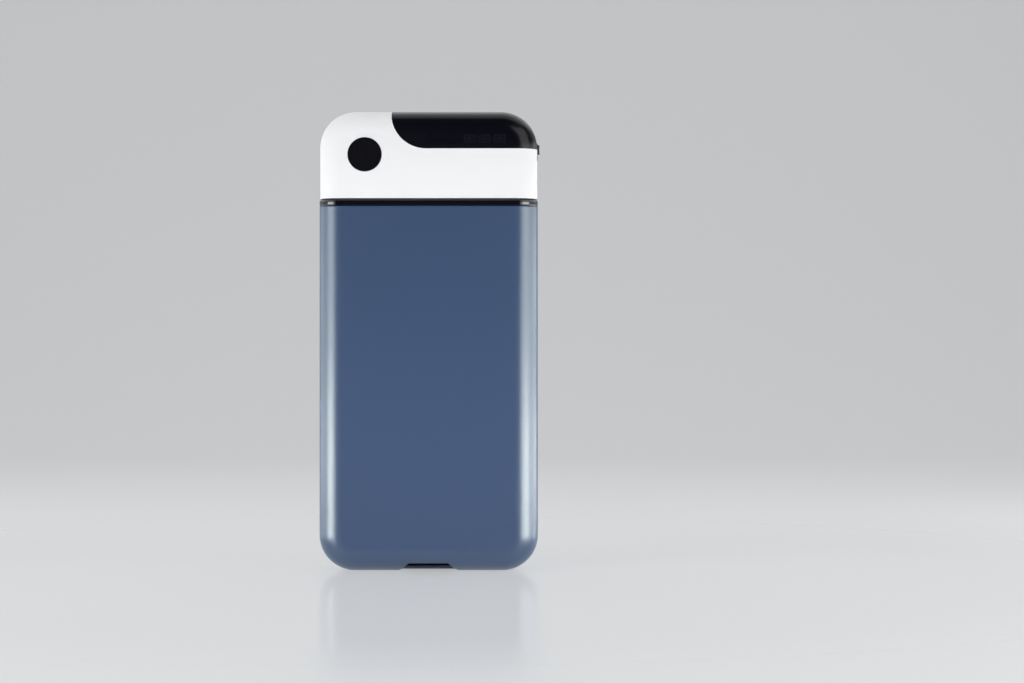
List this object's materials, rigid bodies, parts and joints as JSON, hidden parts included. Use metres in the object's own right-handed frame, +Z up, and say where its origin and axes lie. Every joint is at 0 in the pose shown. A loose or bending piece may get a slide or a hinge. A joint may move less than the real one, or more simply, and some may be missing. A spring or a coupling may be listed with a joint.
{
  "type": "timed lock container",
  "caption": "Slim upright phone lock box: a translucent sleeve closed by a timer head with a round button, dark display window and hooks driven by a pinion between racks.",
  "frame": {"origin": "under the middle of the base, on the surface the container stands on", "axes": "+X to the right seen from the front, +Y to the rear, +Z up along the sleeve"},
  "size_m": [0.1028, 0.03, 0.214],
  "materials": {
    "smoke_sleeve": "satin, dense smoke-blue translucent polycarbonate",
    "white_shell": "fine satin",
    "smoked_window": "polished, nearly opaque",
    "black_collar": "gloss",
    "black_button": "smooth",
    "black_trim": "satin",
    "pressed_steel": "zinc plated sheet",
    "socket_steel": "bright drawn shell",
    "screw_steel": "nickel plated",
    "motor_steel": "drawn can",
    "gearbox_brass": "machined",
    "acetal_white": "moulded acetal",
    "circuit_board": "solder mask",
    "chip_black": "moulded",
    "header_white": "moulded nylon",
    "display_grey": "matt face",
    "cell_foil": "laminated pouch",
    "foam_tape": "foam"
  },
  "bodies": {
    "sleeve": {"sleeve": "smoke_sleeve", "strike_plate_left": "pressed_steel", "strike_plate_right": "pressed_steel", "strike_rivets_left": "screw_steel", "strike_rivets_right": "screw_steel"},
    "head": {"neck_collar": "black_collar", "head_front_shell": "white_shell", "head_rear_shell": "white_shell", "display_window": "smoked_window", "button_switch": "pressed_steel", "switch_bezel": "black_trim", "power_switch_body": "pressed_steel", "usb_socket": "socket_steel", "main_board": "circuit_board", "board_chips": "chip_black", "wire_headers": "header_white", "buzzer": "chip_black", "display_module": "display_grey", "battery_cell": "cell_foil", "cell_tape": "foam_tape", "gearmotor_gearbox": "gearbox_brass", "gearmotor_can": "motor_steel", "mechanism_plate": "pressed_steel", "case_screws": "screw_steel", "board_screws": "screw_steel", "plate_screws": "screw_steel"},
    "pinion": {"drive_pinion": "gearbox_brass", "output_shaft": "motor_steel"},
    "bolt_left": {"rack_bar_left": "acetal_white", "hook_left": "pressed_steel", "hook_rivets_left": "screw_steel"},
    "bolt_right": {"rack_bar_right": "acetal_white", "hook_right": "pressed_steel", "hook_rivets_right": "screw_steel"},
    "button": {"timer_button": "black_button", "button_plunger": "black_trim"},
    "power_switch": {"power_switch_knob": "black_trim"}
  },
  "joints": [
    {"name": "head_lift", "type": "slide", "parent": "sleeve", "child": "head", "axis": [0, 0, 1], "range_m": [0, 0.06]},
    {"name": "lock_drive", "type": "hinge", "parent": "head", "child": "pinion", "pos_m": [0, 0, 0.1755], "axis": [0, 0, 1], "range_deg": [0, 21.83]},
    {"name": "hook_left_slide", "type": "slide", "parent": "head", "child": "bolt_left", "axis": [-1, 0, 0], "range_m": [0, 0.0024]},
    {"name": "hook_right_slide", "type": "slide", "parent": "head", "child": "bolt_right", "axis": [1, 0, 0], "range_m": [0, 0.0024]},
    {"name": "timer_button_press", "type": "slide", "parent": "head", "child": "button", "axis": [0, 1, 0], "range_m": [0, 0.0008], "stiffness_N_per_m": 400, "springref_m": -0.001},
    {"name": "power_switch_slide", "type": "slide", "parent": "head", "child": "power_switch", "axis": [0, 0, -1], "range_m": [0, 0.0022]}
  ],
  "couplings": [
    {"joint": "hook_right_slide", "follows": "hook_left_slide", "ratio": 1},
    {"joint": "lock_drive", "follows": "hook_left_slide", "rad_per_m": 158.73}
  ]
}
